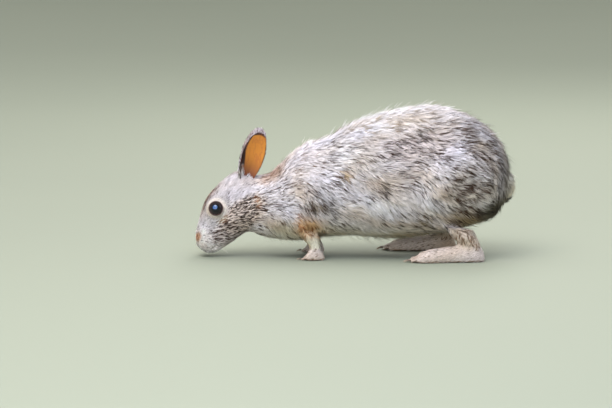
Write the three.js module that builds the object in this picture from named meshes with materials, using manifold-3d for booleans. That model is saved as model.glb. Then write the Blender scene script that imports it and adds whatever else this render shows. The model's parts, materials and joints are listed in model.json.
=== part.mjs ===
// A life-size cottontail rabbit that grazes with its nose to the ground: a still display model.
//
// Millimetres, +Z up. The rabbit faces -X and its left side faces -Y. The floor is z = 0.
// The outline is that of the living animal, out to the tips of its coat.
//
// The body from the nose to the rump is one loft. Each station joins a point of the back's
// outline to a point of the belly's, and the ring between them is an egg-shaped oval, swollen
// where the haunch, shoulder, cheek, brow and muzzle stand out. It is parted by thin cuts into
// the pieces that a person would name. Lower legs, feet, ears and tail are solids of their own.

import * as THREE from "three";
import { mergeVertices } from "three/addons/utils/BufferGeometryUtils.js";
import Module from "manifold-3d";

const wasm = await Module();
wasm.setup();

// ---------------------------------------------------------------- driving dimensions

const GAP = 0.3; // between pieces that touch
const BODY_SIDES = 26; // points in a ring of the body
const LEG_SIDES = 12; // points in a ring of a leg
const FOOT_SIDES = 10; // points in a ring of a foot
const RINGS_PER_SPAN = 2; // rings from one station to the next

// Stations of the body, from the nose to the rump. top and low are the (x, z) of the outline over
// the back and under the belly, half is half the width, wide is the height of the widest place as
// a share of the ring, and round is 2 for an ellipse and more for a fuller oval.
const BODY_STATIONS = [
  { name: "lips", top: [-168.2, 14], low: [-157, 3], half: 7.5, wide: 0.5, round: 2.1 },
  { name: "nostrils", top: [-168.6, 21], low: [-147, 2.8], half: 11, wide: 0.45, round: 2.2 },
  { name: "whisker pads", top: [-165.6, 32], low: [-138, 8.5], half: 13.5, wide: 0.42, round: 2.3 },
  { name: "bridge", top: [-161.6, 46], low: [-128, 15], half: 17, wide: 0.42, round: 2.4 },
  { name: "eyes", top: [-156, 62], low: [-119, 21.5], half: 20, wide: 0.44, round: 2.5 },
  { name: "forehead", top: [-144, 76.5], low: [-111, 25.5], half: 22, wide: 0.43, round: 2.4 },
  { name: "jaw angle", top: [-129, 88], low: [-103, 23], half: 23.5, wide: 0.44, round: 2.3 },
  { name: "poll", top: [-109, 87], low: [-94, 21], half: 26, wide: 0.45, round: 2.2 },
  { name: "nape", top: [-90, 87.5], low: [-82, 19.5], half: 29, wide: 0.45, round: 2.2 },
  { name: "neck root", top: [-73, 102.5], low: [-69, 18.5], half: 33, wide: 0.44, round: 2.2 },
  { name: "withers", top: [-53, 118.5], low: [-53, 19], half: 36.5, wide: 0.43, round: 2.2 },
  { name: "shoulder", top: [-29, 125], low: [-31, 22.5], half: 39.5, wide: 0.43, round: 2.2 },
  { name: "ribs", top: [-3, 140], low: [-4, 24.5], half: 43, wide: 0.42, round: 2.2 },
  { name: "saddle", top: [24, 149.5], low: [24, 22], half: 46.5, wide: 0.41, round: 2.2 },
  { name: "loin", top: [52, 156], low: [52, 22], half: 48, wide: 0.41, round: 2.2 },
  { name: "flank", top: [79, 158.5], low: [80, 26], half: 47.5, wide: 0.43, round: 2.2 },
  { name: "hips", top: [106, 152.5], low: [103, 31], half: 46.5, wide: 0.45, round: 2.2 },
  { name: "croup", top: [130, 141.5], low: [124, 35.5], half: 43.5, wide: 0.46, round: 2.2 },
  { name: "buttocks", top: [148.5, 124], low: [141, 41], half: 36, wide: 0.47, round: 2.2 },
  { name: "seat", top: [158, 104], low: [153.5, 55], half: 24, wide: 0.5, round: 2.2 },
];
const NOSE_END = [-163.5, 7.5];
const RUMP_END = [160.5, 79];

// How far the right hind leg stands ahead of the left one, at the haunch and at the foot.
const RIGHT_HAUNCH_AHEAD = 10;
const RIGHT_FOOT_AHEAD = 26;

// Swellings of the body's sides: centre and half axes in the side view (x, z), lean in degrees,
// how far the side stands out, and edge, the share of the half axes over which it fades.
const SWELLINGS = [
  { name: "haunch", centre: [114, 80], axes: [50, 54], lean: 16, rise: 12.5, edge: 0.62 },
  { name: "shoulder", centre: [-44, 70], axes: [27, 46], lean: -14, rise: 5, edge: 0.7 },
  { name: "elbow", centre: [-52, 40], axes: [18, 20], lean: 0, rise: 3.5, edge: 0.9 },
  { name: "cheek", centre: [-122, 42], axes: [27, 21], lean: -38, rise: 3, edge: 1 },
  { name: "brow", centre: [-141, 62], axes: [17, 9], lean: -50, rise: 2.4, edge: 1 },
  { name: "whisker pad", centre: [-156, 15], axes: [15, 13], lean: -50, rise: 2.6, edge: 1 },
];

// Planes that part the body, each by a point in (x, z) and the direction towards the tail.
const HEAD_NECK_CUT = { at: [-101, 54], towards: [0.93, 0.37] };
const NECK_TRUNK_CUT = { at: [-73, 62], towards: [0.98, 0.2] };

// Ellipsoids that part the upper legs from the trunk along the edges of the swellings.
const HAUNCH_CUT = { centre: [115, 40, 80], radii: [43, 33, 47], lean: 16 };
const UPPER_ARM_CUT = { centre: [-44, 38, 62], radii: [21, 27, 38], lean: -14 };

// The eyeball, as big and as deep as a cottontail's.
const EYE = { centre: [-144.6, 15.4, 52.3], radii: [8.2, 8.2, 8.2], lean: 0 };

const TAIL = { centre: [155.8, 0, 77], radii: [12.9, 15.5, 21], lean: -8 };

// The ear: a spoon of skin that rises from a rolled base. along is the share of the way from the
// foot to the tip, half is half the width, and deep is how far the spoon is hollowed.
const EAR = {
  foot: [-114.5, 10.5, 76],
  tip: [-97.8, 20, 133],
  bend: 0.8, // how far its middle bows forwards
  wall: 2.4,
  turn: 14, // degrees that its mouth turns from the side towards the rear
  rightAhead: 1, // how far the right ear is swung forwards
  spans: 7, // over the width
  stations: [
    { along: 0.0, half: 7, deep: 6.5 },
    { along: 0.2, half: 9.4, deep: 7.4 },
    { along: 0.42, half: 12.2, deep: 6.4 },
    { along: 0.63, half: 12.6, deep: 5 },
    { along: 0.81, half: 10.6, deep: 3.4 },
    { along: 0.93, half: 7.6, deep: 2 },
    { along: 1.0, half: 3.2, deep: 0.7 },
  ],
};

// Lower legs as stations down the limb: centre, radius fore and aft, radius across.
const SHANK = [
  { at: [97, 37, 58], fore: 14, across: 12.5 },
  { at: [102.5, 38.5, 45], fore: 14.5, across: 13 },
  { at: [111.5, 39, 32], fore: 13, across: 11.5 },
  { at: [120, 39, 20], fore: 10, across: 9.5 },
  { at: [125.5, 39, 11], fore: 8, across: 8 },
];
const FOREARM = [
  { at: [-49, 27.5, 48], fore: 13, across: 11.5 },
  { at: [-50.5, 28, 37], fore: 12, across: 10.5 },
  { at: [-47, 28.5, 27], fore: 9.8, across: 8.8 },
  { at: [-42.5, 28.5, 18], fore: 7.4, across: 7.2 },
  { at: [-40.5, 28.5, 11], fore: 6.2, across: 6.6 },
];

// Feet as stations from the heel to the roots of the toes: x, height, and half the width.
const HIND_FOOT = {
  y: 39,
  splay: 4, // degrees that the toes point outwards
  stations: [
    { x: 134.5, height: 11, half: 6 },
    { x: 127, height: 18, half: 8.5 },
    { x: 113, height: 19, half: 10 },
    { x: 97, height: 16.5, half: 10.5 },
    { x: 81, height: 14, half: 11.5 },
    { x: 68, height: 11, half: 11.5 },
  ],
  toes: [
    { across: -0.72, back: 4, length: 12, radius: 3.9 },
    { across: -0.25, back: 0, length: 14, radius: 4.2 },
    { across: 0.25, back: 0.5, length: 14, radius: 4.2 },
    { across: 0.72, back: 5, length: 12, radius: 3.8 },
  ],
};
const FOREPAW = {
  y: 28.5,
  splay: 3,
  stations: [
    { x: -31.5, height: 7.5, half: 5 },
    { x: -35.5, height: 12, half: 6.8 },
    { x: -42, height: 13, half: 7.6 },
    { x: -49, height: 9.5, half: 7.8 },
  ],
  toes: [
    { across: -0.74, back: 3, length: 7.5, radius: 2.7 },
    { across: -0.26, back: 0, length: 9, radius: 2.9 },
    { across: 0.26, back: 0, length: 9, radius: 2.9 },
    { across: 0.74, back: 3, length: 7.5, radius: 2.6 },
  ],
};
// Along a toe, from its root to the claw's point: shares of its length, and of its radius.
const TOE = { sides: 5, along: [-0.5, 0, 0.55, 0.86, 0.88], radius: [0.7, 1, 0.9, 0.5, 0.26] };
const CLAW_POINT = { along: 1.32, drop: 0.35 };

// ---------------------------------------------------------------- tools

const BLOCK = 1000; // side of the blocks that cut along a plane

// A closed mesh as a manifold solid, its faces turned over if they point inwards.
function solid(geometry) {
  const bare = geometry.clone();
  for (const name of ["normal", "uv"]) bare.deleteAttribute(name);
  const merged = mergeVertices(bare, 1e-4);
  const made = () => new wasm.Manifold(
    new wasm.Mesh({
      numProp: 3,
      vertProperties: new Float32Array(merged.attributes.position.array),
      triVerts: new Uint32Array(merged.index.array),
    }),
  );
  if (made().volume() > 0) return made();
  const corners = merged.index.array;
  for (let i = 0; i < corners.length; i += 3) {
    [corners[i + 1], corners[i + 2]] = [corners[i + 2], corners[i + 1]];
  }
  return made();
}

// A manifold solid as three.js geometry.
function geometryOf(made) {
  const { vertProperties, triVerts } = made.getMesh();
  const geometry = new THREE.BufferGeometry();
  geometry.setAttribute("position", new THREE.BufferAttribute(vertProperties, 3));
  geometry.setIndex(new THREE.BufferAttribute(triVerts, 1));
  return geometry;
}

// A closed loft through rings of equal length, drawn to a point at each end.
function loft(rings, firstEnd, lastEnd) {
  const count = rings[0].length;
  const points = [firstEnd, ...rings.flat(), lastEnd];
  const faces = [];
  for (let side = 0; side < count; side++) {
    const next = (side + 1) % count;
    faces.push(0, 1 + next, 1 + side);
    for (let ring = 0; ring < rings.length - 1; ring++) {
      const here = 1 + ring * count;
      const there = here + count;
      faces.push(here + side, here + next, there + next);
      faces.push(here + side, there + next, there + side);
    }
    const end = 1 + (rings.length - 1) * count;
    faces.push(points.length - 1, end + side, end + next);
  }
  const geometry = new THREE.BufferGeometry().setFromPoints(points);
  geometry.setIndex(faces);
  return solid(geometry);
}

// A smooth curve through rows of three numbers, which may be a place or any three sizes.
const through = (rows) => new THREE.CatmullRomCurve3(
  rows.map((row) => new THREE.Vector3(...row)), false, "centripetal");

// The sine or cosine of an angle bent from a circle towards a fuller oval.
const fuller = (share, round) => Math.sign(share) * Math.abs(share) ** (2 / round);

const ahead = (point, way, distance) => point.clone().addScaledVector(way, distance);

// An ellipsoid on one side of the animal, leaning by so many degrees in the side view.
function ellipsoid({ centre, radii, lean }, side = 1, grow = 0, detail = [14, 9]) {
  const ball = new THREE.SphereGeometry(1, ...detail);
  ball.scale(...radii.map((radius) => radius + grow));
  ball.rotateY(THREE.MathUtils.degToRad(lean));
  ball.translate(centre[0], side * centre[1], centre[2]);
  return solid(ball);
}

// All that lies beyond a plane, as a block.
function beyond({ at, towards }, shift = 0) {
  const block = new THREE.BoxGeometry(BLOCK, BLOCK, BLOCK);
  block.translate(BLOCK / 2 + shift, 0, 0);
  block.rotateY(Math.atan2(-towards[1], towards[0]));
  block.translate(at[0], 0, at[1]);
  return solid(block);
}

const underFloor = beyond({ at: [0, 0], towards: [0, -1] });

// The largest body of a solid, without the crumbs that a cut can leave.
const largest = (made) => made.decompose().sort((a, b) => b.volume() - a.volume())[0];

// ---------------------------------------------------------------- the body

const haunchAhead = (side) => (side > 0 ? RIGHT_HAUNCH_AHEAD : 0);
const footAhead = (side) => (side > 0 ? RIGHT_FOOT_AHEAD : 0);

// How far the body's side stands out at a point of the side view.
function swell(x, z, side) {
  let out = 0;
  for (const { name, centre, axes, lean, rise, edge } of SWELLINGS) {
    const shift = name === "haunch" ? haunchAhead(side) : 0;
    const turned = THREE.MathUtils.degToRad(lean);
    const dx = x - centre[0] + shift;
    const dz = z - centre[1];
    const u = (dx * Math.cos(turned) - dz * Math.sin(turned)) / axes[0];
    const v = (dx * Math.sin(turned) + dz * Math.cos(turned)) / axes[1];
    out += rise * (1 - THREE.MathUtils.smoothstep(Math.hypot(u, v), 1 - edge, 1));
  }
  return out;
}

// One ring of the body between a point of the back and a point of the belly.
function bodyRing(back, belly, half, wide, round) {
  const ring = [];
  for (let i = 0; i < BODY_SIDES; i++) {
    const angle = (i / BODY_SIDES) * 2 * Math.PI;
    const up = fuller(Math.cos(angle), round);
    const across = fuller(Math.sin(angle), round);
    const point = belly.clone().lerp(back, wide + up * (up > 0 ? 1 - wide : wide));
    point.y = across * (half + swell(point.x, point.z, Math.sign(across)));
    ring.push(point);
  }
  return ring;
}

// The whole body from the nose to the rump, grown all round by grow.
function bodyLoft(grow = 0) {
  const top = through(BODY_STATIONS.map((station) => [station.top[0], 0, station.top[1]]));
  const low = through(BODY_STATIONS.map((station) => [station.low[0], 0, station.low[1]]));
  const form = through(BODY_STATIONS.map(({ half, wide, round }) => [half, 100 * wide, 100 * round]));
  const steps = (BODY_STATIONS.length - 1) * RINGS_PER_SPAN;
  const rings = [];
  for (let i = 0; i <= steps; i++) {
    const back = top.getPoint(i / steps);
    const belly = low.getPoint(i / steps);
    const { x: half, y: wide, z: round } = form.getPoint(i / steps);
    const up = back.clone().sub(belly).normalize();
    rings.push(bodyRing(ahead(back, up, grow), ahead(belly, up, -grow),
      half + grow, wide / 100, round / 100));
  }
  return loft(rings,
    new THREE.Vector3(NOSE_END[0] - grow, 0, NOSE_END[1]),
    new THREE.Vector3(RUMP_END[0] + grow, 0, RUMP_END[1]));
}

const haunchCut = (side, grow = 0) => {
  const [x, y, z] = HAUNCH_CUT.centre;
  return ellipsoid({ ...HAUNCH_CUT, centre: [x - haunchAhead(side), y, z] }, side, grow);
};
const upperArmCut = (side, grow = 0) => ellipsoid(UPPER_ARM_CUT, side, grow);
const eyeball = (side, grow = 0) => ellipsoid(EYE, side, grow, [14, 10]);
const tail = (grow = 0) => ellipsoid(TAIL, 1, grow, [12, 10]);

// ---------------------------------------------------------------- legs and feet

// An oval of points round a centre, square to the way that the limb runs.
function ovalRing(centre, way, fore, across) {
  const sideways = new THREE.Vector3(0, 1, 0).addScaledVector(way, -way.y).normalize();
  const forwards = new THREE.Vector3().crossVectors(way, sideways);
  const ring = [];
  for (let i = 0; i < LEG_SIDES; i++) {
    const angle = (i / LEG_SIDES) * 2 * Math.PI;
    ring.push(centre.clone()
      .addScaledVector(sideways, across * Math.cos(angle))
      .addScaledVector(forwards, fore * Math.sin(angle)));
  }
  return ring;
}

// A lower leg down its stations, its ends rounded. Its upper end is moved forwards by topAhead
// and its lower end by lowAhead.
function legLoft(stations, side, topAhead, lowAhead, grow = 0) {
  const path = through(stations.map(({ at: [x, y, z] }, i) => [
    x - THREE.MathUtils.lerp(topAhead, lowAhead, i / (stations.length - 1)), side * y, z]));
  const form = through(stations.map(({ fore, across }) => [fore, across, 0]));
  const steps = stations.length;
  const rings = [];
  for (let i = 0; i <= steps; i++) {
    const { x: fore, y: across } = form.getPoint(i / steps);
    rings.push(ovalRing(path.getPoint(i / steps), path.getTangent(i / steps), fore + grow, across + grow));
  }
  const cap = (share, way) => ahead(path.getPoint(share), path.getTangent(share), way);
  return loft(rings, cap(0, -0.5 * stations[0].fore - grow), cap(1, 0.5 * stations.at(-1).fore + grow));
}

const shank = (side, grow = 0) => legLoft(SHANK, side, haunchAhead(side), footAhead(side), grow);
const forearm = (side, grow = 0) => legLoft(FOREARM, side, 0, 0, grow);

// One toe with its claw, lying on the floor and pointing along -X from the origin.
function toe(length, radius) {
  const { sides, along, radius: shares } = TOE;
  const rings = along.map((share, i) => {
    const ring = [];
    for (let k = 0; k < sides; k++) {
      const angle = ((k + 0.5) / sides) * 2 * Math.PI;
      ring.push(new THREE.Vector3(-length * share,
        radius * shares[i] * Math.cos(angle), radius * shares[i] * Math.sin(angle)));
    }
    return ring;
  });
  const root = new THREE.Vector3(-length * (along[0] - 0.2), 0, 0);
  const point = new THREE.Vector3(-length * CLAW_POINT.along, 0, -radius * CLAW_POINT.drop);
  return loft(rings, root, point).translate([0, 0, radius * 0.85]);
}

// A foot with a flat sole on the floor: a loft from the heel forwards, with toes at its front.
function footLoft({ y, splay, stations, toes }, side, forwards) {
  const sunk = 1.4; // how far the rings reach under the floor before the sole is cut flat
  const path = through(stations.map(({ x, height, half }) => [x, height, half]));
  const steps = stations.length + 1;
  const rings = [];
  for (let i = 0; i <= steps; i++) {
    const { x, y: height, z: half } = path.getPoint(i / steps);
    const middle = height * 0.4;
    const ring = [];
    for (let k = 0; k < FOOT_SIDES; k++) {
      const angle = (k / FOOT_SIDES) * 2 * Math.PI;
      const up = fuller(Math.cos(angle), 2.3);
      const across = half * fuller(Math.sin(angle), 2.3);
      ring.push(new THREE.Vector3(x, across, middle + up * (up > 0 ? height - middle : middle + sunk)));
    }
    rings.push(ring);
  }
  const heel = stations[0];
  const front = stations.at(-1);
  const end = ({ x, height }, out) => new THREE.Vector3(x + out, 0, height * 0.4);
  let made = loft(rings, end(heel, 3), end(front, -3));
  for (const { across, back, length, radius } of toes) {
    made = made.add(toe(length, radius)
      .rotate([0, 0, -across * 9])
      .translate([front.x + back, side * across * front.half, 0]));
  }
  return made
    .translate([-heel.x, 0, 0])
    .rotate([0, 0, -side * splay])
    .translate([heel.x - forwards, side * y, 0])
    .subtract(underFloor);
}

// ---------------------------------------------------------------- ears

// An ear: crescent rings from the rolled base to the tip, hollow towards the side and the rear.
function earLoft(side) {
  const { foot, tip, bend, wall, turn, rightAhead, spans, stations } = EAR;
  const swing = side > 0 ? rightAhead : 0;
  const from = new THREE.Vector3(foot[0] - swing / 2, side * foot[1], foot[2]);
  const to = new THREE.Vector3(tip[0] - swing / 2, side * tip[1], tip[2]);
  const bow = from.clone().lerp(to, 0.5);
  bow.x -= 2 * bend + swing;
  const axis = new THREE.QuadraticBezierCurve3(from, bow, to);
  const form = through(stations.map(({ along, half, deep }) => [100 * along, half, deep]));
  const steps = stations.length + 3;
  const turned = THREE.MathUtils.degToRad(turn);
  const mouth = new THREE.Vector3(Math.sin(turned), side * Math.cos(turned), 0);
  const rings = [];
  for (let i = 0; i <= steps; i++) {
    const { x: percent, y: half, z: deep } = form.getPoint(i / steps);
    const share = THREE.MathUtils.clamp(percent / 100, 0, 1);
    const way = axis.getTangent(share);
    const facing = mouth.clone().addScaledVector(way, -mouth.dot(way)).normalize();
    const breadth = new THREE.Vector3().crossVectors(way, facing);
    const outer = [];
    const inner = [];
    for (let k = 0; k <= spans; k++) {
      const u = Math.sin((k / spans - 0.5) * Math.PI);
      const spot = ahead(axis.getPoint(share), breadth, half * u);
      const hollow = 1 - u * u;
      outer.push(ahead(spot, facing, -deep * hollow));
      inner.unshift(ahead(spot, facing, -deep * hollow + wall * (0.4 + 0.6 * hollow)));
    }
    rings.push([...outer, ...inner]);
  }
  const middle = (ring) => ring.reduce((sum, point) => sum.add(point), new THREE.Vector3())
    .divideScalar(ring.length);
  return loft(rings, middle(rings[0]), middle(rings.at(-1)));
}

// ---------------------------------------------------------------- the pieces

const pieces = new Map(); // name: { made, finish }
const add = (name, finish, made) => pieces.set(name, { made: largest(made), finish });

const body = bodyLoft();
const grownBody = bodyLoft(GAP);
let head = body.subtract(beyond(HEAD_NECK_CUT, -GAP / 2));
let neck = body.intersect(beyond(HEAD_NECK_CUT, GAP / 2)).subtract(beyond(NECK_TRUNK_CUT, -GAP / 2));
let trunk = body.intersect(beyond(NECK_TRUNK_CUT, GAP / 2));

for (const [word, side] of Object.entries({ left: -1, right: 1 })) {
  add("ear_" + word, "ear", earLoft(side).subtract(grownBody));
  add("eye_" + word, "eye", eyeball(side));
  head = head.subtract(eyeball(side, GAP));

  add("thigh_" + word, "coat", body.intersect(haunchCut(side)));
  add("shank_" + word, "coat", shank(side).subtract(haunchCut(side, GAP)).subtract(grownBody)
    .subtract(underFloor));
  add("hind_foot_" + word, "foot", footLoft(HIND_FOOT, side, footAhead(side)).subtract(shank(side, GAP)));

  add("upper_arm_" + word, "coat", body.intersect(upperArmCut(side)));
  add("forearm_" + word, "coat", forearm(side).subtract(upperArmCut(side, GAP)).subtract(grownBody)
    .subtract(underFloor));
  add("forepaw_" + word, "foot", footLoft(FOREPAW, side, 0).subtract(forearm(side, GAP)));

  trunk = trunk.subtract(haunchCut(side, GAP)).subtract(upperArmCut(side, GAP));
  neck = neck.subtract(upperArmCut(side, GAP));
}
add("head", "coat", head);
add("neck", "coat", neck);
add("trunk", "coat", trunk);
add("tail", "coat", tail().subtract(grownBody));

// ---------------------------------------------------------------- the rabbit

const FINISHES = {
  coat: { color: 0xb9afa8, roughness: 0.9, metalness: 0 },
  foot: { color: 0xc9a58c, roughness: 0.9, metalness: 0 },
  ear: { color: 0xc0794a, roughness: 0.7, metalness: 0 },
  eye: { color: 0x120a08, roughness: 0.05, metalness: 0 },
};

const group = new THREE.Group();
for (const [name, { made, finish }] of pieces) {
  const mesh = new THREE.Mesh(geometryOf(made), new THREE.MeshStandardMaterial(FINISHES[finish]));
  mesh.name = name;
  group.add(mesh);
}

export default group;
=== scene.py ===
# %% [markdown]
# # A grazing cottontail rabbit, life size
# The rabbit is made as a museum would: a firm body form first, then one skin over it, then the
# coat, which is thousands of small solid tufts, and last glass eyes, horn claws and whiskers.
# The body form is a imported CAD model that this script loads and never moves. Everything here is in
# metres in that model's frame: +X towards the tail, +Y towards the rabbit's right side, +Z up.

import contextlib
import json
import math

import bmesh
import bpy
import numpy as np
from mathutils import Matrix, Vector

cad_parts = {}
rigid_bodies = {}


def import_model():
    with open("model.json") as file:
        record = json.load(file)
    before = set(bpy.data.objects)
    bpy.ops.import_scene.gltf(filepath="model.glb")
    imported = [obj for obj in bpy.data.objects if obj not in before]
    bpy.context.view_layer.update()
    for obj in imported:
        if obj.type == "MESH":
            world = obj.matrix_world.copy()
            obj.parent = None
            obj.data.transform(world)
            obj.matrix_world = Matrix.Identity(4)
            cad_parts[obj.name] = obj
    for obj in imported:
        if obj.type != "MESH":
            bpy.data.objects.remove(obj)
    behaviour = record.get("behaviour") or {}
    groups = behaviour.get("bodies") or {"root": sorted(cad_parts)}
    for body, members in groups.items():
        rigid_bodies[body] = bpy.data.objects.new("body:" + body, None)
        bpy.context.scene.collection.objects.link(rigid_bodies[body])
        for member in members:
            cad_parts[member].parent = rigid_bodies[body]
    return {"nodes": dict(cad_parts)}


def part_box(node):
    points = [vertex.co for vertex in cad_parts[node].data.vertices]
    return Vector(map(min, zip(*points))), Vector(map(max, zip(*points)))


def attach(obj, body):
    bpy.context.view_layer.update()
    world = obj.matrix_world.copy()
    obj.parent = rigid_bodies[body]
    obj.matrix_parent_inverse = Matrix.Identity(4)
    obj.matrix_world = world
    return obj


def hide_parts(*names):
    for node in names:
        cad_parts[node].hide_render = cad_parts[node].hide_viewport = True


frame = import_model()
SCENE = bpy.context.scene
MM = 0.001
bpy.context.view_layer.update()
SEED = 7
SIDES = (("left", -1), ("right", 1))  # and the sign of y there


def box(node):
    """The lowest and highest corner of a CAD node, as numpy arrays in metres."""
    low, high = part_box(node)
    return np.array(low), np.array(high)


def placed(name, data):
    """A new object in the scene."""
    made = bpy.data.objects.new(name, data)
    SCENE.collection.objects.link(made)
    return made


# %% [markdown]
# ## Camera, floor and light
# A grazing rabbit is seen best from its own height, so the camera is low and far away with a long
# lens, which keeps the proportions true. The key light comes from above and in front, a broad
# bluish light stands for an open sky, and weaker ones in front, behind and at the tail keep every
# side readable. The floor is one large moss grey sheet, and its tone throws a little green up on
# the belly, as a lawn does. It bends up into a wall four metres behind, which is farther out than
# the camera, so that the rabbit can be looked at from all round. An even light of its own keeps
# the sheet pale far out.

# %% Camera
CAMERA_RISE = math.radians(8)
CAMERA_LENS = 200.0
SENSOR = 36.0
FRAME_WIDTH = 0.6426  # what the picture's width takes in at the rabbit
AIM = Vector((-0.0509, 0.0, 0.0551))
distance = FRAME_WIDTH * CAMERA_LENS / SENSOR
camera = placed("camera", bpy.data.cameras.new("camera"))
camera.data.lens = CAMERA_LENS
camera.data.sensor_width = SENSOR
camera.data.clip_end = 50
camera.location = AIM + distance * Vector((0, -math.cos(CAMERA_RISE), math.sin(CAMERA_RISE)))
camera.rotation_euler = (math.radians(90) - CAMERA_RISE, 0, 0)
SCENE.camera = camera
print("camera at", [round(c, 3) for c in camera.location])


# %% Nodes of materials and trees
def fill(tree, node, inputs):
    """Gives a node's inputs their values, and links those whose value is another node's socket."""
    for name, value in inputs.items():
        if isinstance(value, bpy.types.NodeSocket):
            tree.links.new(value, node.inputs[name])
        else:
            node.inputs[name].default_value = value


def add_node(tree, kind, inputs=None, **settings):
    """A new node with its settings and its inputs, by name or by number."""
    made = tree.nodes.new(kind)
    for name, value in settings.items():
        setattr(made, name, value)
    fill(tree, made, inputs or {})
    return made


def maths(tree, operation, *values):
    """A Math node's result from sockets or numbers."""
    return add_node(tree, "ShaderNodeMath", dict(enumerate(values)), operation=operation).outputs[0]


def noise(tree, vector, scale, detail):
    inputs = {"Vector": vector, "Scale": scale, "Detail": detail}
    return add_node(tree, "ShaderNodeTexNoise", inputs).outputs["Fac"]


def attribute(tree, name, output="Color"):
    """A shader node's output that reads an attribute of the mesh."""
    return add_node(tree, "ShaderNodeAttribute", attribute_name=name).outputs[output]


def ramp(tree, value, start, end, low=0.0, high=1.0):
    """A smooth step of a shader value from low at start to high at end."""
    inputs = {"Value": value, "From Min": start, "From Max": end, "To Min": low, "To Max": high}
    return add_node(tree, "ShaderNodeMapRange", inputs, interpolation_type="SMOOTHSTEP").outputs["Result"]


def blended(tree, factor, first, second, kind="MIX"):
    """Two colours mixed, each a socket or a colour, by a factor that is a socket or a number."""
    inputs = {"Factor": factor}
    for name, value in (("A", first), ("B", second)):
        inputs[name] = value if isinstance(value, bpy.types.NodeSocket) else (*value, 1)
    return add_node(tree, "ShaderNodeMix", inputs, data_type="RGBA", blend_type=kind).outputs["Result"]


def material(name):
    """A new node material, its node tree and its Principled shader."""
    made = bpy.data.materials.new(name)
    made.use_nodes = True
    return made, made.node_tree, made.node_tree.nodes["Principled BSDF"]


# %% Floor
FLOOR_HALF_WIDTH, FLOOR_FRONT, FLOOR_BACK = 4.5, -4.5, 4.2
BEND_RADIUS, BEND_STEPS, WALL_TOP = 1.0, 12, 6.0


def paper_floor():
    """A moss grey sheet on the floor that bends up into a wall far behind the rabbit."""
    profile = [(FLOOR_FRONT, 0.0), (FLOOR_BACK, 0.0)]
    for step in range(1, BEND_STEPS + 1):
        turn = step / BEND_STEPS * math.pi / 2
        profile.append((FLOOR_BACK + BEND_RADIUS * math.sin(turn), BEND_RADIUS * (1 - math.cos(turn))))
    profile.append((FLOOR_BACK + BEND_RADIUS, WALL_TOP))
    mesh = bpy.data.meshes.new("floor")
    points = [(x, y, z) for y, z in profile for x in (-FLOOR_HALF_WIDTH, FLOOR_HALF_WIDTH)]
    faces = [(2 * i, 2 * i + 1, 2 * i + 3, 2 * i + 2) for i in range(len(profile) - 1)]
    mesh.from_pydata(points, [], faces)
    mesh.shade_smooth()
    paper, tree, shader = material("moss paper")
    cloud = add_node(tree, "ShaderNodeTexNoise", {"Scale": 14}).outputs["Fac"]
    tint = blended(tree, cloud, (0.152, 0.166, 0.129), (0.163, 0.177, 0.137))
    fill(tree, shader, {"Base Color": tint, "Roughness": 0.85})
    mesh.materials.append(paper)
    floor = placed("floor", mesh)
    return floor


FLOOR = paper_floor()


# %% Lights
def light_only(light, receiver):
    """Makes a light fall on one object alone."""
    lit = bpy.data.collections.new("lit by " + light.name)
    lit.objects.link(receiver)
    light.light_linking.receiver_collection = lit


def area_light(name, place, target, size, watts, colour):
    """A round soft light that looks at a point."""
    light = bpy.data.lights.new(name, "AREA")
    light.shape = "DISK"
    light.size = size
    light.energy = watts
    light.color = colour
    holder = placed(name, light)
    holder.location = place
    holder.rotation_euler = (Vector(target) - Vector(place)).to_track_quat("-Z", "Y").to_euler()
    return holder


wash = bpy.data.lights.new("floor wash", "SUN")  # an even light from above for the floor alone
wash.energy = 5
wash.angle = math.radians(90)  # so wide that it throws no hard shadow
light_only(placed("floor wash", wash), FLOOR)
for light in (("key", (-0.5, -0.8, 1.5), (0, 0, 0.06), 1.1, 29, (1.0, 0.95, 0.89)),
              ("sky", (0.05, -1.45, 1.55), (-0.05, 0, 0.06), 1.8, 18, (0.38, 0.62, 1.0)),
              ("fill", (-0.5, -1.7, 0.45), (0, 0, 0.05), 1.2, 8.5, (1.0, 0.97, 0.86)),
              ("rim", (0.3, 1.3, 1.1), (0, 0, 0.08), 1.0, 14, (1.0, 0.98, 0.95)),
              ("back", (1.6, 0.2, 0.9), (0.1, 0, 0.08), 1.2, 6, (1.0, 0.98, 0.95))):
    area_light(*light)
world = bpy.data.worlds.new("studio")
world.use_nodes = True
sky = {"Color": (0.86, 0.87, 0.83, 1), "Strength": 0.5}
fill(world.node_tree, world.node_tree.nodes["Background"], sky)
SCENE.world = world
SCENE.view_settings.view_transform = "Standard"
print("floor, five lights round the rabbit, one for the floor and a pale sky")


# %% [markdown]
# ## The skin
# Under its coat a rabbit is one unbroken skin, so the parted CAD pieces are melted into one form.
# Joining copies of them and remeshing with voxels closes the thin gaps, smoothing takes away the
# facets, and moving every point inwards leaves room for the coat. A sculpted mesh could do the
# same, but then it would not be certain to fit the form. The trunk is thinned afterwards, because
# the coat hides it, and the head and feet keep their fine faces.

# %% Small mesh tools
def rows(items, field, width, kind=np.float32):
    """One field of a mesh's vertices or edges as the rows of an array."""
    values = np.empty(len(items) * width, kind)
    items.foreach_get(field, values)
    return values.reshape(-1, width)


def coordinates(mesh):
    return rows(mesh.vertices, "co", 3).astype(float)


def normals(mesh):
    return rows(mesh.vertex_normals, "vector", 3).astype(float)


def edge_ends(mesh):
    """The two vertex numbers of every edge."""
    return rows(mesh.edges, "vertices", 2, np.int32)


def set_coordinates(mesh, points):
    mesh.vertices.foreach_set("co", points.astype(np.float32).ravel())
    mesh.update()


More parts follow.
